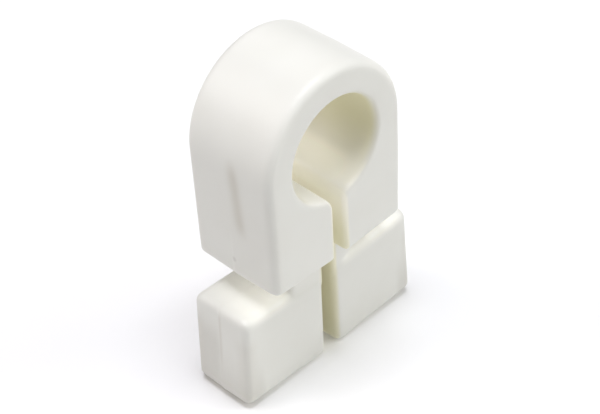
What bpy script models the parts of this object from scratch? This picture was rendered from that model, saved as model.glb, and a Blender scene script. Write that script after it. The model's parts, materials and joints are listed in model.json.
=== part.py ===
"""Clip-type wall anchor of white moulded plastic.

An arch with a rod bore stands on two legs. A narrow slot runs down from the bore and parts the legs, so they
flex like the jaws of a peg about the crown of the arch. Under each leg half of a split neck goes through the
wall, and a broad foot on it hooks behind the wall.

Metres, +Z up. X runs across the two legs, Y along the bore, and the feet stand on Z = 0.
"""

from math import asin, cos, hypot, pi, radians, sin, tan

import bmesh
import bpy
from mathutils import Matrix

# Driving dimensions: the arch
ARCH_WIDTH = 0.0130
ARCH_DEPTH = 0.0080
BORE_DIAMETER = 0.0080
BORE_HEIGHT = 0.0095  # bore axis above the seat that rests on the wall
CROWN_ANGLE = radians(44)  # share of the arch that stays still while the legs flex
LEG_DRAFT = radians(0.5)  # the outer sides lean in towards the seat

# Driving dimensions: the slot between the two halves
SLOT_WIDTH = 0.0009
SLOT_FLARE = radians(0.65)  # each side of the slot, below the seat
SPLAY = radians(2.25)  # each half stands open about the bore axis

# Driving dimensions: the wall groove, the necks and the feet
GROOVE_HEIGHT = 0.00205  # from the seat to the hook face of the foot
FOOT_REACH = 0.0079  # outer face of a foot from the middle, before the splay
FOOT_DEPTH = 0.0054
FOOT_HEIGHT = 0.00785
NECK_WIDTH = 0.0064  # both halves of the neck together
NECK_SETBACK = 0.0001  # the neck's front behind the front face of the foot
NECK_ROOT = 0.0002  # height of the neck's ends that stand on the leg and on the foot

# Driving dimensions: rounded edges and the gap between neighbouring pieces
LIP_RADIUS = 0.0011  # where the bore runs into the slot, seen from the front
ARCH_FILLET = 0.0007  # outer edges of the arch
BORE_FILLET = 0.0005  # rims of the bore and edges of the slot
FOOT_FILLET = 0.0006
NECK_CORNER = 0.0012  # upright corners of the neck
PIECE_GAP = 0.0003

# Finish of the plastic
PLASTIC_COLOUR = (0.86, 0.85, 0.80, 1.0)
PLASTIC_ROUGHNESS = 0.42

# Facets of the round shapes
ARC_STEPS = 20  # in a quarter turn of the arch
LIP_STEPS = 5
CORNER_STEPS = 6
FILLET_STEPS = 4
FLAT_LIMIT = radians(30)  # edges flatter than this are part of a curve

# Derived sizes, measured from the bore axis
ARCH_RADIUS = ARCH_WIDTH / 2
BORE_RADIUS = BORE_DIAMETER / 2
HALF_DEPTH = ARCH_DEPTH / 2
HINGE_HEIGHT = (ARCH_RADIUS + BORE_RADIUS) / 2  # the middle of the crown's wall
SLOT_HALF = SLOT_WIDTH / 2
NECK_HALF_WIDTH = NECK_WIDTH / 2
NECK_HALF_DEPTH = FOOT_DEPTH / 2 - NECK_SETBACK
HOOK_DROP = BORE_HEIGHT + GROOVE_HEIGHT
BASE_DROP = HOOK_DROP + FOOT_HEIGHT
CLEAR = ARCH_WIDTH + BASE_DROP  # beyond every face, for the regions that pieces are kept to

SIDES = {"left": -1, "right": 1}


def level_point(reach, drop):
    """Where a point of the right half comes to lie when that half is splayed about the bore axis."""
    return reach * cos(SPLAY) + drop * sin(SPLAY), reach * sin(SPLAY) - drop * cos(SPLAY)


def slot_corner(drop):
    """Corner of the right foot's slot face with the splayed level that lies drop below the bore axis."""
    lean = tan(SLOT_FLARE)
    x = (SLOT_HALF + lean * (drop / cos(SPLAY) - BORE_HEIGHT)) / (1 + lean * tan(SPLAY))
    return x, x * tan(SPLAY) - drop / cos(SPLAY)


def leg_corner():
    """Corner of the right leg's outer side with its splayed seat."""
    fall = BORE_HEIGHT / cos(SPLAY) - ARCH_RADIUS * (sin(LEG_DRAFT) + cos(LEG_DRAFT) * tan(SPLAY))
    side = fall / (cos(LEG_DRAFT) - sin(LEG_DRAFT) * tan(SPLAY))
    x = ARCH_RADIUS * cos(LEG_DRAFT) - side * sin(LEG_DRAFT)
    return x, x * tan(SPLAY) - BORE_HEIGHT / cos(SPLAY)


def lowest_point():
    """Lowest point of a foot: its rounded edge between the base and the slot."""
    corner = slot_corner(BASE_DROP)[1]
    centre = corner + FOOT_FILLET * (sin(SPLAY) + cos(SLOT_FLARE)) / cos(SPLAY - SLOT_FLARE)
    return centre - FOOT_FILLET


BORE_Z = -lowest_point()


def clear_scene():
    for old in list(bpy.data.objects):
        bpy.data.objects.remove(old, do_unlink=True)


def plastic(name):
    """Off-white, slightly glossy moulded plastic."""
    material = bpy.data.materials.new(name + "_plastic")
    material.use_nodes = True
    shader = material.node_tree.nodes["Principled BSDF"]
    shader.inputs["Base Color"].default_value = PLASTIC_COLOUR
    shader.inputs["Roughness"].default_value = PLASTIC_ROUGHNESS
    shader.inputs["Metallic"].default_value = 0.0
    material.diffuse_color = PLASTIC_COLOUR
    return material


def add_object(name, bm):
    """An object that stands on the bore axis, made from a bmesh in that frame."""
    bmesh.ops.recalc_face_normals(bm, faces=bm.faces)
    mesh = bpy.data.meshes.new(name)
    bm.to_mesh(mesh)
    bm.free()
    obj = bpy.data.objects.new(name, mesh)
    obj.location = (0, 0, BORE_Z)
    bpy.context.collection.objects.link(obj)
    return obj


def as_guide(obj):
    """Keep an object as a guide that shapes others."""
    obj.hide_render = True
    obj.display_type = "WIRE"
    return obj


def add_region(name, outline):
    """A guide that holds one piece's share of the whole, from an outline seen from the front."""
    return as_guide(add_object(name, front_outline(outline, CLEAR)))


def extruded(points, direction):
    """A bmesh of a flat outline, extruded along a direction."""
    bm = bmesh.new()
    face = bm.faces.new([bm.verts.new(p) for p in points])
    grown = bmesh.ops.extrude_face_region(bm, geom=[face])
    moved = [item for item in grown["geom"] if isinstance(item, bmesh.types.BMVert)]
    bmesh.ops.translate(bm, verts=moved, vec=direction)
    return bm


def front_outline(outline, half_depth):
    """A bmesh of an outline seen from the front, extruded evenly to both sides of the middle plane."""
    return extruded([(x, -half_depth, z) for x, z in outline], (0, 2 * half_depth, 0))


def arc(centre, radius, start, end, steps):
    """Points along an arc in a flat outline, both ends included."""
    angles = [start + (end - start) * i / steps for i in range(steps + 1)]
    return [(centre[0] + radius * cos(a), centre[1] + radius * sin(a)) for a in angles]


def arch_outline():
    """The right half of the arch from the front: the bore, its lip and the slot, then the seat, side and top."""
    lip_x = SLOT_HALF + LIP_RADIUS
    lip_reach = BORE_RADIUS + LIP_RADIUS
    lip_turn = asin(lip_x / lip_reach)
    lip_centre = (lip_x, -lip_reach * cos(lip_turn))
    outline = arc((0, 0), BORE_RADIUS, pi / 2, lip_turn - pi / 2, ARC_STEPS)
    outline += arc(lip_centre, LIP_RADIUS, lip_turn + pi / 2, pi, LIP_STEPS)[1:]
    outline.append((SLOT_HALF, SLOT_HALF * tan(SPLAY) - BORE_HEIGHT / cos(SPLAY)))
    outline.append(leg_corner())
    return outline + arc((0, 0), ARCH_RADIUS, -LEG_DRAFT, pi / 2, ARC_STEPS)


def on_inside(point):
    """Whether a corner of the arch lies on the bore, a lip or the slot."""
    in_slot = point.z < 0 and abs(point.x) < BORE_RADIUS
    return in_slot or hypot(point.x, point.z) < HINGE_HEIGHT


def arch_blank():
    """A bmesh of the whole arch in one, whose edge weights set how far each edge is rounded."""
    right = arch_outline()
    left = [(-x, z) for x, z in reversed(right)]
    bm = front_outline(right + left[1:-1], HALF_DEPTH)
    weight = bm.edges.layers.float.new("bevel_weight_edge")
    for edge in bm.edges:
        if edge.calc_face_angle() > FLAT_LIMIT:
            inside = all(on_inside(vert.co) for vert in edge.verts)
            edge[weight] = BORE_FILLET / ARCH_FILLET if inside else 1.0
    return bm


def crown_region():
    """The wedge of the arch that the crown takes up."""
    half = CROWN_ANGLE / 2
    tip = PIECE_GAP / 2 / sin(half)
    reach = (CLEAR * sin(half), tip + CLEAR * cos(half))
    return add_region("crown_region", [(0, tip), reach, (-reach[0], reach[1])])


def leg_region(side):
    """The part of the arch that one leg takes up, from the crown round to the slot."""
    half = CROWN_ANGLE / 2
    near = (PIECE_GAP / 2 * cos(half), -PIECE_GAP / 2 * sin(half))
    far = (near[0] + CLEAR * sin(half), near[1] + CLEAR * cos(half))
    outline = [near, far, (2 * CLEAR, far[1]), (2 * CLEAR, -CLEAR), (0, -CLEAR), (0, near[1])]
    return add_region("leg_region", [(side * x, z) for x, z in outline])


def side_region(side):
    """Everything on one side of the slot."""
    outline = [(SLOT_HALF, 0), (CLEAR, 0), (CLEAR, -CLEAR), (SLOT_HALF, -CLEAR)]
    return add_region("side_region", [(side * x, z) for x, z in outline])


def bevel(obj, width, limit):
    modifier = obj.modifiers.new("rounded_edges", "BEVEL")
    modifier.width = width
    modifier.segments = FILLET_STEPS
    modifier.limit_method = limit
    modifier.angle_limit = FLAT_LIMIT


def combine(obj, operation, guide):
    modifier = obj.modifiers.new(guide.name, "BOOLEAN")
    modifier.operation = operation
    modifier.solver = "EXACT"
    modifier.object = guide


def finish(obj, pivot=None):
    """Apply the modifiers, shade the round faces smooth, add the plastic and hang the piece on its pivot."""
    bpy.context.view_layer.update()
    shaped = obj.evaluated_get(bpy.context.evaluated_depsgraph_get())
    mesh = bpy.data.meshes.new_from_object(shaped)
    mesh.name = obj.name
    obj.modifiers.clear()
    obj.data = mesh
    mesh.shade_smooth()
    mesh.set_sharp_from_angle(angle=FLAT_LIMIT)
    mesh.materials.clear()
    mesh.materials.append(plastic(obj.name))
    if pivot:
        obj.parent = pivot
        obj.location = (0, 0, -HINGE_HEIGHT)


def make_pivot(name):
    """The line in the crown about which one half flexes."""
    pivot = bpy.data.objects.new(name + "_pivot", None)
    pivot.location = (0, 0, BORE_Z + HINGE_HEIGHT)
    pivot.empty_display_size = HINGE_HEIGHT
    bpy.context.collection.objects.link(pivot)
    return pivot


def make_crown():
    crown = add_object("crown", arch_blank())
    bevel(crown, ARCH_FILLET, "WEIGHT")
    combine(crown, "INTERSECT", crown_region())
    finish(crown)


def make_leg(name, side, pivot):
    leg = add_object(name + "_leg", arch_blank())
    bevel(leg, ARCH_FILLET, "WEIGHT")
    combine(leg, "INTERSECT", leg_region(side))
    root = half_post("leg_root", side, BORE_HEIGHT - 2 * ARCH_FILLET, BORE_HEIGHT + NECK_ROOT)
    combine(leg, "UNION", as_guide(root))
    finish(leg, pivot)


def neck_outline():
    """The whole neck from above: a rectangle with round corners."""
    x = NECK_HALF_WIDTH - NECK_CORNER
    y = NECK_HALF_DEPTH - NECK_CORNER
    outline = []
    for i, centre in enumerate([(x, y), (-x, y), (-x, -y), (x, -y)]):
        outline += arc(centre, NECK_CORNER, i * pi / 2, (i + 1) * pi / 2, CORNER_STEPS)
    return outline


def half_post(name, side, top, bottom):
    """Half of the neck, on the splayed axis of its side, between two drops below the bore axis."""
    bm = extruded([(x, y, -bottom) for x, y in neck_outline()], (0, 0, bottom - top))
    bmesh.ops.transform(bm, matrix=Matrix.Rotation(-side * SPLAY, 4, "Y"), verts=bm.verts)
    post = add_object(name, bm)
    combine(post, "INTERSECT", side_region(side))
    return post


def make_neck(name, side, pivot):
    end = NECK_ROOT + PIECE_GAP
    finish(half_post(name + "_neck", side, BORE_HEIGHT + end, HOOK_DROP - end), pivot)


def make_foot(name, side, pivot):
    """A block with rounded edges and the root of the neck on it."""
    outline = [slot_corner(HOOK_DROP), level_point(FOOT_REACH, HOOK_DROP)]
    outline += [level_point(FOOT_REACH, BASE_DROP), slot_corner(BASE_DROP)]
    foot = add_object(name + "_foot", front_outline([(side * x, z) for x, z in outline], FOOT_DEPTH / 2))
    bevel(foot, FOOT_FILLET, "ANGLE")
    root = half_post("foot_root", side, HOOK_DROP - NECK_ROOT, HOOK_DROP + 2 * FOOT_FILLET)
    combine(foot, "UNION", as_guide(root))
    finish(foot, pivot)


def main():
    clear_scene()
    make_crown()
    for name, side in SIDES.items():
        pivot = make_pivot(name)
        make_leg(name, side, pivot)
        make_neck(name, side, pivot)
        make_foot(name, side, pivot)


main()
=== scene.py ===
# %% [markdown]
# # A clip anchor of moulded plastic
#
# The part is a small anchor that holds a rod to a thin wall: an arch with a bore, a slot that makes two spring
# legs of it, and under each leg half of a neck and a foot that hooks behind the wall. On the real object all
# of this is one shot of off-white plastic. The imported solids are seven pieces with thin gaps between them, so
# here one unbroken skin is modelled over them and then divided where the pieces meet.

import json
from math import asin, cos, exp, pi, radians, sin, tan

import bmesh
import bpy
from mathutils import Matrix, Quaternion, Vector


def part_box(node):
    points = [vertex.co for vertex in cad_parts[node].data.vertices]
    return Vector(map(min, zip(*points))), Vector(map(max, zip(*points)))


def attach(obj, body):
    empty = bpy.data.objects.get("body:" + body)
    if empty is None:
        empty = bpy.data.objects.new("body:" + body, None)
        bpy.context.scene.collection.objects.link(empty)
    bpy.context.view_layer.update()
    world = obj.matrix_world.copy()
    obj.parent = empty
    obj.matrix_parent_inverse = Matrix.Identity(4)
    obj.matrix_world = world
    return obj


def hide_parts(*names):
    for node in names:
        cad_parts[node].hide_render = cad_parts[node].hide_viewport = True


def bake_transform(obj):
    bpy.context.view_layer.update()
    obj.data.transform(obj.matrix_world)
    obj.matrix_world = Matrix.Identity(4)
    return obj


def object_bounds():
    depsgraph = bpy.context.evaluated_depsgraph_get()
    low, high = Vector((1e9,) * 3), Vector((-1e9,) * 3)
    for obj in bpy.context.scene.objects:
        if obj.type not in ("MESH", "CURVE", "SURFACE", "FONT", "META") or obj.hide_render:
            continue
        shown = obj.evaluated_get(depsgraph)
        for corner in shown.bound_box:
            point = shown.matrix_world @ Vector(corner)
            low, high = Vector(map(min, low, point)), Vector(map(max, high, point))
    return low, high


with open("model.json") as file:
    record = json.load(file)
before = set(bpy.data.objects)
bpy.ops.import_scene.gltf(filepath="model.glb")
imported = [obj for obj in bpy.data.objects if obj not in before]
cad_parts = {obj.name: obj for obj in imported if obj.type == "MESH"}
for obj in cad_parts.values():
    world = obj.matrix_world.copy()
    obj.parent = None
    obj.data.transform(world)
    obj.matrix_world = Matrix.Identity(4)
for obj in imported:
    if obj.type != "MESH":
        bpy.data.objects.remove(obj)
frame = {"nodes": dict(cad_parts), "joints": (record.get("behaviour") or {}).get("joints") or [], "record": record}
cad_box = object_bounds()
print("packed pieces:", ", ".join(sorted(frame["nodes"])))

# %% [markdown]
# ## Sizes from the frame
#
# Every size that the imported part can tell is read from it, so that the skin follows if the part changes. A box
# gives the arch, and the two hinges give the middle of its wall, which leaves the bore. The seats on the wall
# and the feet are splayed a little, so they are measured along their own slanted axis: the farthest point of a
# node in a direction says where its flat face lies.

# %% Measure the arch and its bore
arch_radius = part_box("right_leg")[1].x
half_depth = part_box("crown")[1].y
bore_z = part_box("crown")[1].z - arch_radius
bore_axis = Vector((0, 0, bore_z))
hinge_z = frame["joints"][0]["pos_m"][2]
bore_radius = 2 * (hinge_z - bore_z) - arch_radius
slot_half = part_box("right_leg")[0].x
print(f"arch radius {arch_radius * 1000:.2f} mm, bore radius {bore_radius * 1000:.2f} mm")

# %% Measure the splayed seat, neck and foot
mounts = {mount["name"]: mount for mount in frame["record"]["mounts"]}
down = Vector(mounts["right_seat"]["axis"])
outward = Vector((-down.z, 0, down.x))
splay = asin(down.x)


def farthest(node, direction):
    """How far a node reaches from the bore axis in a direction."""
    return max((vert.co - bore_axis).dot(direction) for vert in frame["nodes"][node].data.vertices)


seat_drop = (Vector(mounts["right_seat"]["pos_m"]) - bore_axis).dot(down)
hook_drop = (Vector(mounts["right_hook"]["pos_m"]) - bore_axis).dot(down)
base_drop = farthest("right_foot", down)
foot_reach = farthest("right_foot", outward)
foot_half_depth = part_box("right_foot")[1].y
neck_reach = farthest("right_neck", outward)
neck_half_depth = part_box("right_neck")[1].y
groove = hook_drop - seat_drop
print(f"groove {groove * 1000:.2f} mm, splay {splay * 180 / pi:.2f} degrees")

# %% [markdown]
# ## The outline, drawn with a pen
#
# Seen from the front the arch is one outline: round at the top, straight at the sides, and slotted up into the
# bore. A pen that can draw lines and arcs keeps it to the few moves that the shape needs. A line is an
# extruded vertex and an arc is a spun one. Only the right half is drawn, and a mirror adds the left.

# %% A pen for outlines in the front view
ARC_STEP = radians(1.5)


class Pen:
    """Draws a chain of edges in the plane Y = depth, from lines and arcs."""

    def __init__(self, bm, depth, x, z):
        self.bm = bm
        self.depth = depth
        self.start = bm.verts.new((x, depth, z))
        self.tip = self.start

    def line(self, x, z):
        grown = bmesh.ops.extrude_vert_indiv(self.bm, verts=[self.tip])
        self.tip = grown["verts"][0]
        self.tip.co = (x, self.depth, z)

    def arc(self, x, z, turn):
        """Turn about a centre, clockwise as seen from the front."""
        steps = max(2, round(abs(turn) / ARC_STEP))
        centre = (x, self.depth, z)
        spun = bmesh.ops.spin(
            self.bm, geom=[self.tip], cent=centre, axis=(0, 1, 0), angle=turn, steps=steps
        )
        self.tip = next(item for item in spun["geom_last"] if isinstance(item, bmesh.types.BMVert))

    def close(self):
        self.bm.edges.new((self.tip, self.start))


# %% [markdown]
# ## Rounded edges
#
# The mould's edges are all rounded, but not alike: two corners of the neck are turned right off, the outside
# of the arch is soft, the rims of the bore a little tighter, and the slot and the seats, which have to lie
# flat on the wall, tightest. A Bevel modifier takes one width and a weight on each edge, so each edge gets its
# own radius as a share of the largest one.

# %% Radii of the edges
ARCH_FILLET = 0.00070
BORE_FILLET = 0.00040
SLOT_FILLET = 0.00035
SEAT_FILLET = 0.00030
FOOT_FILLET = 0.00060
HOOK_FILLET = 0.00075
NECK_STOP = 0.00040
NECK_TURN = 0.00230
LARGEST_FILLET = NECK_TURN
CREASE = radians(30)
WEIGHT_LAYER = "bevel_weight_edge"


def round_edges(bm, radius_at):
    """Give each sharp edge the bevel weight of the radius that belongs at its middle."""
    weight = bm.edges.layers.float.get(WEIGHT_LAYER) or bm.edges.layers.float.new(WEIGHT_LAYER)
    for edge in bm.edges:
        if edge.calc_face_angle() > CREASE:
            middle = (edge.verts[0].co + edge.verts[1].co) / 2
            edge[weight] = radius_at(middle) / LARGEST_FILLET


def thickened(bm, direction):
    """Fill the outline in a bmesh and extrude it into a closed body."""
    face = bmesh.ops.contextual_create(bm, geom=bm.edges[:])["faces"][0]
    grown = bmesh.ops.extrude_face_region(bm, geom=[face])["geom"]
    moved = [item for item in grown if isinstance(item, bmesh.types.BMVert)]
    bmesh.ops.translate(bm, verts=moved, vec=direction)
    bmesh.ops.recalc_face_normals(bm, faces=bm.faces)
    return bm


# %% [markdown]
# ## The arch with its two legs
#
# Where the bore runs into the slot the plastic is turned over in a wide lip, an arc that touches both. The
# outer sides lean in by half a degree, and the undersides, which sit on the wall, follow the splay of the
# legs. A cube with Boolean cuts could give the same front view, but the outline keeps every edge known, so each
# one can be found again for its radius.

# %% Where the lip, the seats and the radii of the arch lie
LIP_RADIUS = 0.0011
lip_x = slot_half + LIP_RADIUS
lip_reach = bore_radius + LIP_RADIUS
lip_turn = asin(lip_x / lip_reach)
lip_z = bore_z - lip_reach * cos(lip_turn)


def seat_z(x):
    """The height of the splayed seat at a distance from the middle."""
    return bore_z + x * tan(splay) - seat_drop / cos(splay)


def arch_radius_at(point):
    """The fillet radius at an edge of the arch."""
    from_axis = (point - Vector((0, point.y, bore_z))).length
    if from_axis < (bore_radius + arch_radius) / 2:
        return BORE_FILLET
    if point.z < seat_z(abs(point.x)) + SEAT_FILLET / 2:
        return SEAT_FILLET
    if abs(point.x) < bore_radius and point.z < bore_z:
        return SLOT_FILLET
    return ARCH_FILLET


print(f"the lip starts {lip_x * 1000:.2f} mm from the middle")

# %% Draw and thicken the arch
LEG_DRAFT = radians(0.5)
MERGE_DISTANCE = 1e-6


def arch_body():
    """The arch and both legs, with a radius noted on each edge."""
    bm = bmesh.new()
    pen = Pen(bm, -half_depth, 0, bore_z + bore_radius)
    pen.arc(0, bore_z, pi - lip_turn)
    pen.arc(lip_x, lip_z, lip_turn - pi / 2)
    pen.line(slot_half, seat_z(slot_half))
    side_x = arch_radius * cos(LEG_DRAFT)
    side_z = bore_z - arch_radius * sin(LEG_DRAFT)
    run = (side_z - seat_z(side_x)) / (1 - tan(LEG_DRAFT) * tan(splay))
    leg_x = side_x - run * tan(LEG_DRAFT)
    pen.line(leg_x, seat_z(leg_x))
    pen.line(side_x, side_z)
    pen.arc(0, bore_z, -pi / 2 - LEG_DRAFT)
    bmesh.ops.mirror(bm, geom=bm.verts[:] + bm.edges[:], axis="X", merge_dist=MERGE_DISTANCE)
    thickened(bm, (0, 2 * half_depth, 0))
    round_edges(bm, arch_radius_at)
    return bm


arch = arch_body()
print("arch of", len(arch.faces), "faces")

# %% [markdown]
# ## Necks and feet
#
# A neck is half of a post that stands square on its leg's seat. One of its outer corners is nearly square and
# the other turned off, and on the other neck the two are swapped, as on fixings that are turned in their hole
# until they stop. It starts as a cube, stretched and turned into its place and cut off at the slot. It reaches
# well into the leg and the foot, because the three are joined into one skin later. The foot is a block, drawn
# with the pen in the splayed directions, whose slot side leans away a little so that the two feet don't rub.

# %% Make a neck on the right
NECK_SINK = 0.0010


def neck_radius_at(point):
    """The fillet radius at an edge of the neck: none at its ends, which lie inside the leg and the foot."""
    drop = (point - bore_axis).dot(down)
    if not seat_drop < drop < hook_drop:
        return 0.0
    if point.x < neck_reach / 2:
        return SLOT_FILLET
    return NECK_TURN if point.y < 0 else NECK_STOP


def neck_body():
    """The right half of the post, from inside the leg to inside the foot."""
    bm = bmesh.new()
    place = Matrix.Translation(bore_axis) @ Matrix.Rotation(-splay, 4, "Y")
    place = place @ Matrix.Translation((0, 0, -(seat_drop + hook_drop) / 2))
    size = Matrix.Diagonal((2 * neck_reach, 2 * neck_half_depth, groove + 2 * NECK_SINK, 1))
    bmesh.ops.create_cube(bm, size=1, matrix=place @ size)
    everything = bm.verts[:] + bm.edges[:] + bm.faces[:]
    bmesh.ops.bisect_plane(
        bm, geom=everything, plane_co=(slot_half, 0, 0), plane_no=(1, 0, 0), clear_inner=True
    )
    bmesh.ops.holes_fill(bm, edges=[edge for edge in bm.edges if edge.is_boundary])
    bmesh.ops.recalc_face_normals(bm, faces=bm.faces)
    round_edges(bm, neck_radius_at)
    return bm


# %% Make a foot on the right
SLOT_FLARE = radians(0.65)


def splayed(reach, drop):
    """A point of the right half, given along its own slanted axes."""
    place = bore_axis + reach * outward + drop * down
    return place.x, place.z


def slot_corner(drop):
    """Where the foot's slot side meets the splayed level at a drop below the bore axis."""
    lean = tan(SLOT_FLARE)
    x = (slot_half + lean * (drop - seat_drop) / cos(splay)) / (1 + lean * tan(splay))
    return x, bore_z + x * tan(splay) - drop / cos(splay)


def foot_radius_at(point):
    """The fillet radius at an edge of the foot: larger along the front and the back of the hook."""
    on_hook = (point - bore_axis).dot(down) < hook_drop + FOOT_FILLET / 2
    return HOOK_FILLET if on_hook and abs(point.y) > foot_half_depth / 2 else FOOT_FILLET


def foot_body():
    """The right block that hooks behind the wall."""
    bm = bmesh.new()
    pen = Pen(bm, -foot_half_depth, *slot_corner(hook_drop))
    pen.line(*splayed(foot_reach, hook_drop))
    pen.line(*splayed(foot_reach, base_drop))
    pen.line(*slot_corner(base_drop))
    pen.close()
    thickened(bm, (0, 2 * foot_half_depth, 0))
    round_edges(bm, foot_radius_at)
    return bm


# %% Add the left neck and foot
def with_left(bm):
    """Add the left copy of a body that was made for the right, half a turn round."""
    made = bmesh.ops.duplicate(bm, geom=bm.verts[:] + bm.edges[:] + bm.faces[:])["geom"]
    turned = [item for item in made if isinstance(item, bmesh.types.BMVert)]
    bmesh.ops.rotate(bm, verts=turned, cent=(0, 0, 0), matrix=Matrix.Rotation(pi, 3, "Z"))
    return bm


necks = with_left(neck_body())
feet = with_left(foot_body())
print("necks of", len(necks.faces), "faces and feet of", len(feet.faces))

# %% [markdown]
# ## One skin from the overlapping bodies
#
# The arch, the necks and the feet overlap, and the real moulding has no lines where they meet. A Boolean union
# would join them with hard inner corners. A Remesh modifier instead lays an even net over the whole outside,
# and a few rounds of smoothing turn the inner corners into the small hollow radii that a mould has.

# %% Gather the bodies into one mesh
def gather(bodies):
    """One mesh from several bodies, which keep their bevel weights."""
    whole = bmesh.new()
    whole.edges.layers.float.new(WEIGHT_LAYER)
    for body in bodies:
        part_mesh = bpy.data.meshes.new("body")
        body.to_mesh(part_mesh)
        body.free()
        whole.from_mesh(part_mesh)
        bpy.data.meshes.remove(part_mesh)
    mesh = bpy.data.meshes.new("blank")
    whole.to_mesh(mesh)
    whole.free()
    return mesh


blank = bpy.data.objects.new("blank", gather([arch, necks, feet]))
bpy.context.collection.objects.link(blank)
print("blank of", len(blank.data.polygons), "faces")

# %% Join the bodies under one net
FILLET_STEPS = 8
NET_SIZE = 0.00012
SMOOTH_FACTOR = 0.5
SMOOTH_ROUNDS = 6
bevel = blank.modifiers.new("rounded_edges", "BEVEL")
bevel.width = LARGEST_FILLET
bevel.segments = FILLET_STEPS
bevel.limit_method = "WEIGHT"
bevel.use_clamp_overlap = False
net = blank.modifiers.new("net", "REMESH")
net.mode = "VOXEL"
net.voxel_size = NET_SIZE
settle = blank.modifiers.new("hollow_radii", "SMOOTH")
settle.factor = SMOOTH_FACTOR
settle.iterations = SMOOTH_ROUNDS
bpy.context.view_layer.update()
skin = bpy.data.meshes.new_from_object(blank.evaluated_get(bpy.context.evaluated_depsgraph_get()))
bpy.data.objects.remove(blank)
print("net of", len(skin.polygons), "faces")

# %% [markdown]
# ## What the mould leaves on the surface
#
# The mould opened to the front and to the back, so every face that runs front to back leans in a little from
# the middle plane, which is called draft. The two mould halves never meet perfectly: low on the legs and on the
# feet the front half is shifted by a hair, and a thin line of flash stands along the parting line. The thick
# sides have sunk a little as they cooled, in a slanting stripe beside that line. A bump map could fake all of
# this, but on an even net the marks are small moves of its points, so they are real shape and also show in the
# outline.

# %% Where the marks fade in and out
MARKS_FULL = 0.001
MARKS_GONE = 0.006


def bell(distance, width):
    """1 at no distance, fading to both sides."""
    return exp(-((distance / width) ** 2))


def fade(value, low, high):
    """0 below low, 1 above high and smooth between; low may be the larger one."""
    share = min(1.0, max(0.0, (value - low) / (high - low)))
    return share * share * (3 - 2 * share)


def outside_share(point):
    """1 on the outer faces, 0 in the bore and the slot, where no mould halves meet."""
    from_axis = Vector((point.x, 0, point.z - bore_z)).length
    clear_of_bore = fade(from_axis, bore_radius, (bore_radius + arch_radius) / 2)
    clear_of_slot = 1.0 if point.z > bore_z else fade(abs(point.x), slot_half, slot_half + SLOT_FILLET)
    return clear_of_bore * clear_of_slot


# %% The sunk stripe
SINK_DEPTH = 0.00003
SINK_Y = -0.0007
SINK_SLANT = 0.070
SINK_MIDDLE = 0.0074
SINK_WIDTH = 0.00050
SINK_LOW = 0.0055
SINK_HIGH = 0.0092
SINK_FADE = 0.0018
FACING_SIDEWAYS = (0.7, 0.95)
SINK_SIDE = (arch_radius * 0.5, arch_radius * 0.9)


def sunk_share(point, normal, height):
    """1 in the middle of the stripe on the sides of the legs, fading to its edges and ends."""
    on_side = fade(abs(normal.x), *FACING_SIDEWAYS) * fade(abs(point.x), *SINK_SIDE)
    along = fade(height, SINK_LOW - SINK_FADE, SINK_LOW) * fade(height, SINK_HIGH + SINK_FADE, SINK_HIGH)
    stripe_y = SINK_Y + SINK_SLANT * (height - SINK_MIDDLE)
    return bell(point.y - stripe_y, SINK_WIDTH) * on_side * along


# %% Draft, mismatch, flash and sink marks
DRAFT = radians(0.8)
PARTING_Y = 0.00006
MISMATCH = Vector((-0.00006, 0, 0.00004))
MISMATCH_WIDTH = 0.00010
FLASH_HEIGHT = 0.00003
FLASH_WIDTH = 0.00009


def mould_marks(point, normal):
    """How far the mould moved a point of the skin."""
    sideways = Vector((normal.x, 0, normal.z))
    height = point.z - seat_z(0)
    seen = outside_share(point) * fade(height, MARKS_GONE, MARKS_FULL)
    swell = -tan(DRAFT) * abs(point.y)
    swell += FLASH_HEIGHT * bell(point.y - PARTING_Y, FLASH_WIDTH) * seen
    swell -= SINK_DEPTH * sunk_share(point, normal, height)
    front = fade(point.y, PARTING_Y + MISMATCH_WIDTH, PARTING_Y - MISMATCH_WIDTH)
    return sideways * swell + MISMATCH * front * seen


whole_skin = bmesh.new()
whole_skin.from_mesh(skin)
bpy.data.meshes.remove(skin)
for vertex in whole_skin.verts:
    vertex.co += mould_marks(vertex.co, vertex.normal)
whole_skin.normal_update()
print("marked", len(whole_skin.verts), "points of the skin")

# %% [markdown]
# ## Dividing the skin
#
# The legs flex and the crown stays, so the skin is cut where the imported pieces meet: on both sides of the
# crown, and above and below each neck. Both sides of a cut share the same edge, and each point keeps the normal
# that it had on the whole skin. At rest the pieces then meet and shade as one moulding.

# %% Planes between the pieces
CROWN_ANGLE = radians(44)
crown_side = Vector((cos(CROWN_ANGLE / 2), 0, -sin(CROWN_ANGLE / 2)))
leg_end = (farthest("right_leg", down) - farthest("right_neck", -down)) / 2
neck_end = (farthest("right_neck", down) - farthest("right_foot", -down)) / 2
right_half = (bore_axis, Vector((1, 0, 0)))
above_bore = (bore_axis, Vector((0, 0, 1)))
past_crown = (bore_axis, crown_side)
below_leg = (bore_axis + leg_end * down, down)
below_neck = (bore_axis + neck_end * down, down)
RIGHT_CUTS = {
    "leg": [(right_half, 1), (past_crown, 1), (below_leg, -1)],
    "neck": [(right_half, 1), (below_leg, 1), (below_neck, -1)],
    "foot": [(right_half, 1), (below_neck, 1)],
}


def mirrored(plane):
    """The same plane on the left."""
    return tuple(Vector((-vector.x, vector.y, vector.z)) for vector in plane)


print(f"cuts {leg_end * 1000:.2f} and {neck_end * 1000:.2f} mm below the bore axis")

# %% Cut one piece out of the skin
NORMAL_LAYER = "skin_normal"
CUT_TOLERANCE = 1e-8
kept_normal = whole_skin.verts.layers.float_vector.new(NORMAL_LAYER)
for vertex in whole_skin.verts:
    vertex[kept_normal] = vertex.normal


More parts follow.
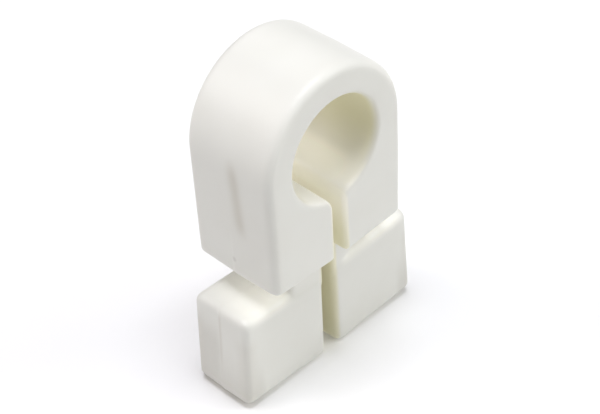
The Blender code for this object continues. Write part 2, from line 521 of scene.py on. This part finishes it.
def cut_piece(name, cuts):
    """A closed piece of the skin on the wanted sides of its planes, shaded as the whole skin is."""
    bm = whole_skin.copy()
    for (place, direction), side in cuts:
        everything = bm.verts[:] + bm.edges[:] + bm.faces[:]
        inside = direction * side
        bmesh.ops.bisect_plane(
            bm, geom=everything, dist=CUT_TOLERANCE, plane_co=place, plane_no=inside, clear_inner=True
        )
    bmesh.ops.holes_fill(bm, edges=[edge for edge in bm.edges if edge.is_boundary])
    mesh = bpy.data.meshes.new(name)
    bm.to_mesh(mesh)
    bm.free()
    mesh.shade_smooth()
    normals = [entry.vector.normalized() for entry in mesh.attributes[NORMAL_LAYER].data]
    mesh.attributes.remove(mesh.attributes[NORMAL_LAYER])
    mesh.normals_split_custom_set_from_vertices(normals)
    piece = bpy.data.objects.new(name, mesh)
    bpy.context.collection.objects.link(piece)
    print(name, len(mesh.polygons), "faces")
    return piece


# %% Cut all seven pieces
crown_cuts = [(above_bore, 1), (past_crown, -1), (mirrored(past_crown), -1)]
pieces = {"crown": cut_piece("moulded_crown", crown_cuts)}
for part, cuts in RIGHT_CUTS.items():
    left_cuts = [(mirrored(plane), side) for plane, side in cuts]
    pieces["right_" + part] = cut_piece("moulded_right_" + part, cuts)
    pieces["left_" + part] = cut_piece("moulded_left_" + part, left_cuts)
whole_skin.free()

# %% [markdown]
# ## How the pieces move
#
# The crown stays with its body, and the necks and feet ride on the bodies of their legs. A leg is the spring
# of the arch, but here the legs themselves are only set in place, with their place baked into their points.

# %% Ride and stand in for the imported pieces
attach(pieces["crown"], "crown")
for side in ("left", "right"):
    jaw = side + "_jaw"
    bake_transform(pieces[side + "_leg"])
    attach(pieces[side + "_neck"], jaw)
    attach(pieces[side + "_foot"], jaw)
for node, piece in pieces.items():
    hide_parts(node)
print("dressed:", ", ".join(pieces))

# %% [markdown]
# ## Shader sums
#
# A material's pattern is a sum of masks. This small class wraps a socket, so that a sum written in Python adds
# the Math nodes by itself, and one method makes every other node.

# %% A socket that can be calculated with
class Socket:
    """An output socket of a material's nodes."""

    def __init__(self, tree, output):
        self.tree = tree
        self.output = output

    def node(self, kind, settings=None, sockets=None, output=0):
        """Add a node, set it up, feed its sockets and return one of its outputs."""
        made = self.tree.nodes.new(kind)
        for name, value in (settings or {}).items():
            setattr(made, name, value)
        for name, value in (sockets or {}).items():
            if isinstance(value, Socket):
                self.tree.links.new(value.output, made.inputs[name])
            else:
                made.inputs[name].default_value = value
        return Socket(self.tree, made.outputs[output])

    def math(self, operation, first, second=0.0):
        return self.node("ShaderNodeMath", {"operation": operation}, {0: first, 1: second})

    def __add__(self, other):
        return self.math("ADD", self, other)

    def __sub__(self, other):
        return self.math("SUBTRACT", self, other)

    def __rsub__(self, other):
        return self.math("SUBTRACT", other, self)

    def __mul__(self, other):
        return self.math("MULTIPLY", self, other)

    def __pow__(self, other):
        return self.math("POWER", self, other)

    def __abs__(self):
        return self.math("ABSOLUTE", self)

    __radd__ = __add__
    __rmul__ = __mul__

    def most(self, other):
        return self.math("MAXIMUM", self, other)

    def bell(self, width):
        """1 at zero, fading to both sides."""
        return self.math("EXPONENT", -1 * (self * (1 / width)) ** 2)

    def ramp(self, low, high):
        """0 at low, 1 at high and smooth between."""
        limits = {"Value": self, "From Min": low, "From Max": high}
        return self.node("ShaderNodeMapRange", {"interpolation_type": "SMOOTHSTEP"}, limits)

    def blend(self, none, full):
        """A colour that goes from none to full as this mask goes from 0 to 1."""
        return self.node("ShaderNodeMix", {"data_type": "RGBA"}, {0: self, 6: none, 7: full}, output=2)

    def noise(self, scale, detail=2.0):
        """Noise over this place, about 0.5 on average."""
        return self.node("ShaderNodeTexNoise", None, {"Vector": self, "Scale": scale, "Detail": detail})


# %% [markdown]
# ## Where a point of the plastic lies
#
# The colour and the painted light and shade change from place to place: warm in the bore, pale on the
# shoulders, darker along a few edges.
# Painted vertex colours could hold that, but they would be lost when the shape changes. Here each mask is
# worked out from the place of a point on the part, its Object coordinates, and from the sizes that gave the
# shape. It stays put when the camera moves and follows when the part is resized. A range of a mask is two
# values, where the mask is 0 and where it is 1. Most are lengths in metres, and a few are shares of another
# mask.

# %% Measures of a point
RIGHT_SIDE = (-0.001, 0.002)
LOW_FLOOR = (0.6, 0.95)


class Spot:
    """Where a point of the plastic lies, as sockets of a material's nodes.

    Its depth counts from the front or back face, its height from the seats and its level from the splayed
    top of a foot. Its reach is how far out it lies along the splay.
    """

    def __init__(self, tree):
        place = Socket(tree, None).node("ShaderNodeTexCoord", output="Object")
        axes = {axis: place.node("ShaderNodeSeparateXYZ", None, {"Vector": place}, axis) for axis in "XYZ"}
        x, y, z = axes.values()
        self.place = place
        self.x, self.y, self.z = x, y, z
        self.across = abs(x)
        self.depth = half_depth - abs(y)
        self.from_axis = (x ** 2 + (z - bore_z) ** 2) ** 0.5
        self.height = z - seat_z(0)
        self.level = z - self.across * tan(splay) - (bore_z - hook_drop / cos(splay))
        self.reach = self.across - (bore_z - z) * tan(splay)
        self.on_right = x.ramp(*RIGHT_SIDE)
        self.on_floor = z.ramp(bore_z, bore_z - bore_radius)
        self.left_lip = self.on_floor.ramp(*LOW_FLOOR) * (1 - self.on_right)


# %% [markdown]
# ## Painted warmth inside
#
# Unfilled moulding plastic is off-white and lets a little light through. What comes out of a deep place has
# lost its blue, so the bore and the slot look warmer than the outer faces. Subsurface scattering would give
# that but can't be baked, so here that light and the shade of the deep places are painted into the colour as a
# tint. It sets in behind the rim of the bore and is deepest, as painted shade, on the wall. The floor, the left
# lip and the top of the slot catch more light and are painted paler.

# %% Masks of the bore and the slot
RIGHT_RIM = (-0.0002, 0.0008)
LEFT_RIM = (0.0005, 0.0042)
LEFT_SHARE = 0.6
FLOOR_RIM = (0.00002, 0.0002)
BORE_SKIN = (0.0005, 0.0001)
LIP_SIDE = (0.0003, 0.0)
LIP_DROP = (-0.0004, 0.0)
LIP_FLOOR = (0.5, 0.9)
SLOT_SKIN = (0.0005, 0.0002)


def bore_mask(spot):
    """1 on the wall of the bore and on the lips under it, fading out at the rims."""
    right_wall = spot.depth.ramp(*RIGHT_RIM) * spot.on_right
    left_wall = LEFT_SHARE * spot.depth.ramp(*LEFT_RIM) * (1 - spot.on_right)
    floor = spot.on_floor.ramp(*LOW_FLOOR) * spot.depth.ramp(*FLOOR_RIM)
    wall = (spot.from_axis - bore_radius).ramp(*BORE_SKIN)
    lip = (spot.across - lip_x).ramp(*LIP_SIDE) * (spot.z - lip_z).ramp(*LIP_DROP)
    lip = lip * spot.on_floor.ramp(*LIP_FLOOR)
    return wall.most(lip) * (right_wall + left_wall).most(floor)


def slot_mask(spot):
    """1 on the two walls of the slot."""
    return (spot.across - slot_half).ramp(*SLOT_SKIN) * spot.z.ramp(bore_z + bore_radius, bore_z)


# %% Painted tint of the bore and the slot
# Painted shade, deepest on the walls of the bore and the slot, and painted light on the bore's floor, its left lip
# and the top of the slot.
SHADED_INNER_WALL = (0.785, 0.75, 0.52, 1)
INNER_FLOOR = (0.87, 0.855, 0.78, 1)
LIP_PALE = (0.875, 0.87, 0.83, 1)
SLOT_WALL = (0.80, 0.775, 0.58, 1)
SLOT_TOP = (0.87, 0.85, 0.75, 1)
UPPER_SLOT = (0.010, 0.0155)


def with_painted_inner_shade(spot, colour, in_bore, in_slot):
    """Lay the painted shade and light of the bore and of the slot over a colour."""
    bore_tint = spot.left_lip.blend(spot.on_floor.blend(SHADED_INNER_WALL, INNER_FLOOR), LIP_PALE)
    slot_tint = spot.z.ramp(*UPPER_SLOT).blend(SLOT_WALL, SLOT_TOP)
    return in_slot.blend(in_bore.blend(colour, bore_tint), slot_tint)


# %% [markdown]
# ## Glow
#
# Where light reaches the plastic from two sides, it seems to glow: on the shoulders of the arch, on the floor
# and the lip of the bore, in the groove over the feet and along their bottom edge. That again is scattering
# inside the plastic. A little emission stands in for it, and the masks say how much and where.

# %% Glow of the bore and the slot
WALL_GLOW = 0.01
FLOOR_GLOW = 0.035
LOW_GLOW = 0.15
DEEP_GLOW = 0.035
LIP_GLOW = 0.05
RIM_GLOW = 0.03
LOWEST_FLOOR = (0.70, 1.0)
LOW_DEPTH = (0.0002, 0.0024)
DEEP_DEPTH = (0.0020, 0.0060)
RIM_DEPTH = (0.0012, 0.0003)
SLOT_GLOW = 0.028
LEG_GLOW = 0.033
TOP_GLOW = 0.07
ABOVE_FEET = (-0.0009, 0.0004)


def bore_glow(spot):
    """How much light comes out of the bore's wall: most from its floor and its lips."""
    off_lip = 1 - spot.left_lip
    low = spot.on_floor.ramp(*LOWEST_FLOOR) * off_lip * spot.depth.ramp(*LOW_DEPTH)
    deep = spot.on_floor * off_lip * spot.depth.ramp(*DEEP_DEPTH)
    rim = spot.on_right * spot.depth.ramp(*RIM_DEPTH)
    floor = FLOOR_GLOW * spot.on_floor + LOW_GLOW * low + DEEP_GLOW * deep
    return WALL_GLOW + floor + LIP_GLOW * spot.left_lip + RIM_GLOW * rim


def slot_glow(spot):
    """How much light comes out of the slot's walls: more between the legs than between the feet."""
    between_legs = LEG_GLOW + TOP_GLOW * spot.z.ramp(*UPPER_SLOT)
    return SLOT_GLOW + spot.level.ramp(*ABOVE_FEET) * between_legs


# %% Glow of the groove over the feet
HOOK_EDGE = (-0.0009, -0.0001)
SEAT_EDGE = (0.0004, 0.0)
FOOT_END = (0.0022, 0.0)
TO_FRONT = (0.003, -0.003)
BACK_SHARE = 0.35
OFF_NECK = (0.0031, 0.0049)
NECK_SHARE = 0.1
EDGE_SHARE = 0.6
ON_RIGHT_FOOT = (0.0, 0.001)
UNDER_HOOK = (0.0002, -0.0002)
ON_LEFT_NECK = (0.0020, 0.0010)
NECK_SKIN = (0.0001, -0.0002)


def groove_mask(spot):
    """Full on top of the feet in front, less at the back and beside the necks, none on the left neck."""
    between = spot.level.ramp(*HOOK_EDGE) * (spot.level - groove).ramp(*SEAT_EDGE)
    between = between * (spot.across - arch_radius).ramp(*FOOT_END)
    right_edge = spot.x.ramp(*ON_RIGHT_FOOT) * spot.level.ramp(*UNDER_HOOK)
    beside_neck = (NECK_SHARE + EDGE_SHARE * right_edge).most(spot.across.ramp(*OFF_NECK))
    left_neck = (spot.reach - neck_reach).ramp(*NECK_SKIN) * spot.x.ramp(*ON_LEFT_NECK)
    return between * (BACK_SHARE + spot.y.ramp(*TO_FRONT)) * beside_neck * (1 - left_neck)


# %% All of the glow
BORE_LIGHT = (1.0, 0.955, 0.78, 1)
PALE_LIGHT = (1.0, 0.98, 0.92, 1)
DARK = (0, 0, 0, 1)
GROOVE_GLOW = 0.17
SHOULDER_GLOW = 0.075
BOTTOM_GLOW = 0.12
BOTTOM_EDGE = (0.0007, 0.0001)
SHOULDER_ACROSS = (0.0022, 0.0048)
SHOULDER_UP = (-0.0008, 0.0035)
SHOULDER_SKIN = (-0.0009, -0.0002)


def glow(spot, in_bore, in_slot):
    """The colour of the light that comes out of the plastic."""
    inner = (in_bore * bore_glow(spot)).most(in_slot * slot_glow(spot))
    inner = inner.blend(DARK, spot.left_lip.blend(BORE_LIGHT, PALE_LIGHT))
    shoulder = spot.across.ramp(*SHOULDER_ACROSS) * (spot.z - bore_z).ramp(*SHOULDER_UP)
    shoulder = shoulder * (spot.from_axis - arch_radius).ramp(*SHOULDER_SKIN)
    outer = (GROOVE_GLOW * groove_mask(spot)).most(SHOULDER_GLOW * shoulder)
    outer = outer.most(BOTTOM_GLOW * spot.z.ramp(*BOTTOM_EDGE))
    return outer.blend(inner, PALE_LIGHT)


# %% [markdown]
# ## Painted shade and a speck
#
# The sunk stripe and the parting line on the feet lie in a little shade, and so do the upright outer edges, which
# face none of the lights, and the sides of the feet low down and on their back half. The moulded shape alone is
# too shallow to show this shade at this size, so it is painted into the colour, and a separate material for each
# would leave hard borders. A speck under the stripe is faintly darker too. So each is a mask that fades out and
# mixes a little of a darker tint in.

# %% Masks of the painted shade on the stripe and the parting line, and of the speck
STRIPE_SIDE = (arch_radius * 0.85, arch_radius * 0.97)
FOOT_LINE_Y = -0.0001
FOOT_LINE_WIDTH = 0.00013
FOOT_LINE_SHARE = 0.5
FOOT_LINE_LEVEL = (-0.0065, -0.0035)
SPECK_PLACE = (-arch_radius, 0.00001, seat_z(0) + 0.00176)
SPECK_SIZE = 0.00016


def stripe_shade_mask(spot):
    """1 in the middle of the sunk stripe, where its shade is painted."""
    stripe = (spot.y - SINK_Y - SINK_SLANT * (spot.height - SINK_MIDDLE)).bell(SINK_WIDTH)
    stripe = stripe * spot.height.ramp(SINK_LOW - SINK_FADE, SINK_LOW)
    stripe = stripe * spot.height.ramp(SINK_HIGH + SINK_FADE, SINK_HIGH)
    return stripe * spot.across.ramp(*STRIPE_SIDE)


def foot_line_shade_mask(spot, foot_side):
    """The painted shade of the parting line on the outer sides of the feet."""
    line = (spot.y - FOOT_LINE_Y).bell(FOOT_LINE_WIDTH)
    return FOOT_LINE_SHARE * line * foot_side * spot.level.ramp(*FOOT_LINE_LEVEL)


def speck_mask(spot):
    """1 at the speck under the stripe on the left."""
    ends = {0: spot.place, 1: SPECK_PLACE}
    distance = spot.place.node("ShaderNodeVectorMath", {"operation": "DISTANCE"}, ends, "Value")
    return distance.ramp(2 * SPECK_SIZE, 0.5 * SPECK_SIZE)


# %% Masks of the painted shade on the edges and the lower sides
FOOT_SIDE = (-0.0012, -0.0004)
BELOW_HOOK = (0.0, -0.0008)
BACK_HALF = (-0.0006, 0.0007)
FOOT_LOW = (-0.0008, -0.0035)
NEAR_FLOOR = (0.0050, 0.0006)
ARCH_EDGE_SHARE = 0.1
ARCH_EDGE_DEPTH = (0.0010, 0.0004)
ARCH_EDGE_SIDE = (-0.0010, -0.0004)
ARCH_EDGE_LOW = (0.0, 0.002)
ARCH_EDGE_HIGH = (0.0105, 0.0075)
FOOT_EDGE_SHARE = 0.35
FOOT_EDGE_DEPTH = (0.0013, 0.0005)
FOOT_EDGE_LEVEL = (-0.0012, -0.0026)


def foot_side_mask(spot):
    """1 on the outer sides of the feet."""
    return spot.level.ramp(*BELOW_HOOK) * (spot.across - foot_reach).ramp(*FOOT_SIDE)


def low_side_shade_mask(spot, foot_side):
    """Painted shade: 1 low on the sides of the feet, and higher up on their back half."""
    back = spot.y.ramp(*BACK_HALF) * spot.level.ramp(*FOOT_LOW)
    return foot_side * back.most(spot.z.ramp(*NEAR_FLOOR))


def edge_shade_mask(spot):
    """Painted shade along the upright outer edges of the legs and of the feet, which face none of the lights."""
    arch_edge = spot.depth.ramp(*ARCH_EDGE_DEPTH) * (spot.across - arch_radius).ramp(*ARCH_EDGE_SIDE)
    arch_edge = arch_edge * spot.height.ramp(*ARCH_EDGE_LOW) * spot.height.ramp(*ARCH_EDGE_HIGH)
    foot_edge = (foot_half_depth - abs(spot.y)).ramp(*FOOT_EDGE_DEPTH)
    foot_edge = foot_edge * (spot.reach - foot_reach).ramp(*FOOT_SIDE) * spot.level.ramp(*FOOT_EDGE_LEVEL)
    return (ARCH_EDGE_SHARE * arch_edge).most(FOOT_EDGE_SHARE * foot_edge)


# %% Off-white with a speck and painted shade
OFF_WHITE = (0.83, 0.828, 0.775, 1)
CLOUD = (0.815, 0.811, 0.755, 1)
CLOUD_SCALE = 260.0
CLOUD_RANGE = (0.35, 0.75)
# Painted shade for the sunk stripe, the parting line on the feet and the upright outer edges.
PAINTED_SHADE = (0.70, 0.68, 0.61, 1)
# Painted shade low on the sides of the feet and on their back half.
LOW_SIDE_SHADE = (0.725, 0.715, 0.66, 1)
SPECK = (0.72, 0.71, 0.66, 1)


def white_with_painted_shade(spot):
    """The colour of the outer faces: clouded off-white with a darker speck and painted shade."""
    foot_side = foot_side_mask(spot)
    colour = spot.place.noise(CLOUD_SCALE).ramp(*CLOUD_RANGE).blend(OFF_WHITE, CLOUD)
    colour = low_side_shade_mask(spot, foot_side).blend(colour, LOW_SIDE_SHADE)
    marks = stripe_shade_mask(spot).most(foot_line_shade_mask(spot, foot_side)).most(edge_shade_mask(spot))
    return speck_mask(spot).blend(marks.blend(colour, PAINTED_SHADE), SPECK)


# %% [markdown]
# ## The plastic
#
# The masks come together in one material for all pieces, because the real object is one shot of one plastic.
# The mould's fine grain makes the finish satin: one noise is a shallow bump, and it also changes the roughness
# a little, together with a broader one.

# %% Put the plastic together
GRAIN_SCALE = 7000.0
PATCH_SCALE = 900.0
SATIN = 0.36
PATCH_ROUGHNESS = 0.10
GRAIN_ROUGHNESS = 0.05
GRAIN_BUMP = {"Strength": 0.25, "Distance": 0.00001}
PLASTIC_IOR = 1.5


def moulded_plastic():
    """Off-white satin plastic."""
    material = bpy.data.materials.new("moulded_plastic")
    material.use_nodes = True
    tree = material.node_tree
    shader = tree.nodes["Principled BSDF"]
    spot = Spot(tree)
    in_bore = bore_mask(spot)
    in_slot = slot_mask(spot)
    grain = spot.place.noise(GRAIN_SCALE)
    surface = {
        "Base Color": with_painted_inner_shade(spot, white_with_painted_shade(spot), in_bore, in_slot),
        "Emission Color": glow(spot, in_bore, in_slot),
        "Roughness": SATIN + PATCH_ROUGHNESS * spot.place.noise(PATCH_SCALE) + GRAIN_ROUGHNESS * grain,
        "Normal": grain.node("ShaderNodeBump", None, GRAIN_BUMP | {"Height": grain}),
    }
    for name, value in surface.items():
        tree.links.new(value.output, shader.inputs[name])
    shader.inputs["Emission Strength"].default_value = 1.0
    shader.inputs["IOR"].default_value = PLASTIC_IOR
    return material


plastic = moulded_plastic()
for piece in pieces.values():
    piece.data.materials.clear()
    piece.data.materials.append(plastic)
print("plastic with", len(plastic.node_tree.nodes), "nodes")

# %% [markdown]
# ## Floor, light and camera
#
# The anchor stands on a plain pale floor, before a white backdrop that the camera sees but that lights nothing.
# A broad light hangs over it, so the crown is brightest. Lower ones stand behind its left, before it and before
# its right. They leave the front paler than the left side, and the upright edge between these two, which faces
# none of the lights, darkest, and painted shade on that edge darkens it further. The Standard view transform shows
# the colours as they are mixed here. The camera looks down on the front left corner from a good distance.

# %% A pale floor
FLOOR_SIZE = 0.5
FLOOR_WHITE = (0.95, 0.95, 0.95, 1)
FLOOR_ROUGHNESS = 0.9


def pale_floor():
    """A square floor under the anchor, which isn't part of it."""
    bm = bmesh.new()
    bmesh.ops.create_grid(bm, x_segments=1, y_segments=1, size=FLOOR_SIZE / 2)
    mesh = bpy.data.meshes.new("floor")
    bm.to_mesh(mesh)
    bm.free()
    material = bpy.data.materials.new("pale_floor")
    material.use_nodes = True
    shader = material.node_tree.nodes["Principled BSDF"]
    shader.inputs["Base Color"].default_value = FLOOR_WHITE
    shader.inputs["Roughness"].default_value = FLOOR_ROUGHNESS
    mesh.materials.append(material)
    floor = bpy.data.objects.new("floor", mesh)
    bpy.context.collection.objects.link(floor)


pale_floor()
print("floor of", FLOOR_SIZE, "m")

# %% Soft lights
aim = (cad_box[0] + cad_box[1]) / 2
LIGHT_SIZE = 0.30
LIGHT_DISTANCE = 0.50
# Azimuth and elevation in degrees, power in watts, and colour.
LIGHTS = {
    "overhead": (0, 90, 2.24, (0.94, 0.945, 1.0)),
    "left": (-135, 38, 0.755, (1.0, 0.935, 0.90)),
    "front": (0, 38, 0.43, (1.0, 1.0, 0.965)),
    "right": (45, 38, 0.74, (1.0, 1.0, 0.965)),
}


def soft_light(name, azimuth, elevation, power, colour):
    """A square light that faces the anchor; azimuth 0 is the front and 90 its right."""
    light = bpy.data.lights.new(name, "AREA")
    light.size = LIGHT_SIZE
    light.energy = power
    light.color = colour
    flat = Vector((sin(radians(azimuth)), -cos(radians(azimuth)), 0)) * cos(radians(elevation))
    towards = flat + Vector((0, 0, sin(radians(elevation))))
    lamp = bpy.data.objects.new(name, light)
    lamp.location = aim + towards * LIGHT_DISTANCE
    lamp.rotation_euler = (-towards).to_track_quat("-Z", "Y").to_euler()
    bpy.context.collection.objects.link(lamp)


for name, (azimuth, elevation, power, colour) in LIGHTS.items():
    soft_light(name, azimuth, elevation, power, colour)
print("lights:", ", ".join(LIGHTS))

# %% A white backdrop
BACKDROP_WHITE = (0.93, 0.93, 0.93, 1)
world = bpy.data.worlds.new("studio")
world.use_nodes = True
backdrop = world.node_tree.nodes["Background"]
backdrop.inputs["Color"].default_value = BACKDROP_WHITE
ray = world.node_tree.nodes.new("ShaderNodeLightPath")
world.node_tree.links.new(ray.outputs["Is Camera Ray"], backdrop.inputs["Strength"])
bpy.context.scene.world = world
bpy.context.scene.view_settings.view_transform = "Standard"
print("backdrop:", world.name)

# %% The camera
SENSOR_WIDTH = 36.0
LENS = 115.3
CLIP_START = 0.005
CLIP_END = 5.0
CAMERA_PLACE = Vector((-0.07106, -0.07540, 0.09943))
CAMERA_AIM = Vector((0.00195, 0.00202, 0.00982))
CAMERA_ROLL = radians(-3.6)
camera_data = bpy.data.cameras.new("camera")
camera_data.sensor_width = SENSOR_WIDTH
camera_data.lens = LENS
camera_data.clip_start = CLIP_START
camera_data.clip_end = CLIP_END
camera = bpy.data.objects.new("camera", camera_data)
camera.location = CAMERA_PLACE
upright = (CAMERA_AIM - CAMERA_PLACE).to_track_quat("-Z", "Y")
camera.rotation_mode = "QUATERNION"
camera.rotation_quaternion = upright @ Quaternion((0, 0, 1), CAMERA_ROLL)
bpy.context.collection.objects.link(camera)
bpy.context.scene.camera = camera
print(f"camera {(CAMERA_PLACE - CAMERA_AIM).length * 1000:.0f} mm away")
